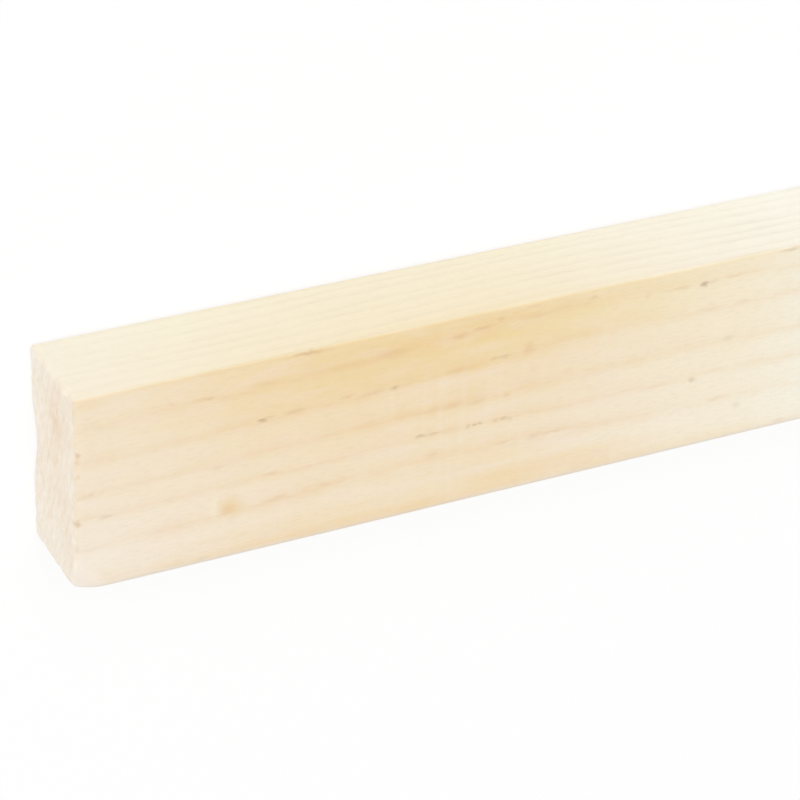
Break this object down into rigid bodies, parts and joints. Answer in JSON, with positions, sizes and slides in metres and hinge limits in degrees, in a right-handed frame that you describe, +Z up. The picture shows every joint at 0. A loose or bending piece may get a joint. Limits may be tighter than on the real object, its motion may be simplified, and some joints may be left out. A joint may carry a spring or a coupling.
{
  "type": "rough sawn board",
  "caption": "Long rectangular softwood batten with rough sawn faces, square-cut ends and one knocked corner, for framing, battening and packing out.",
  "frame": {"origin": "middle of the underside, halfway along the length and across the width", "axes": "+X along the length, away from the knocked end; +Y across the width, towards the clean edge; +Z up through the thickness, out of the wide face that shows in the picture"},
  "size_m": [1.8, 0.047, 0.025],
  "materials": {
    "sawn_wood": "matte"
  },
  "bodies": {
    "root": {"board": "sawn_wood"}
  },
  "joints": []
}
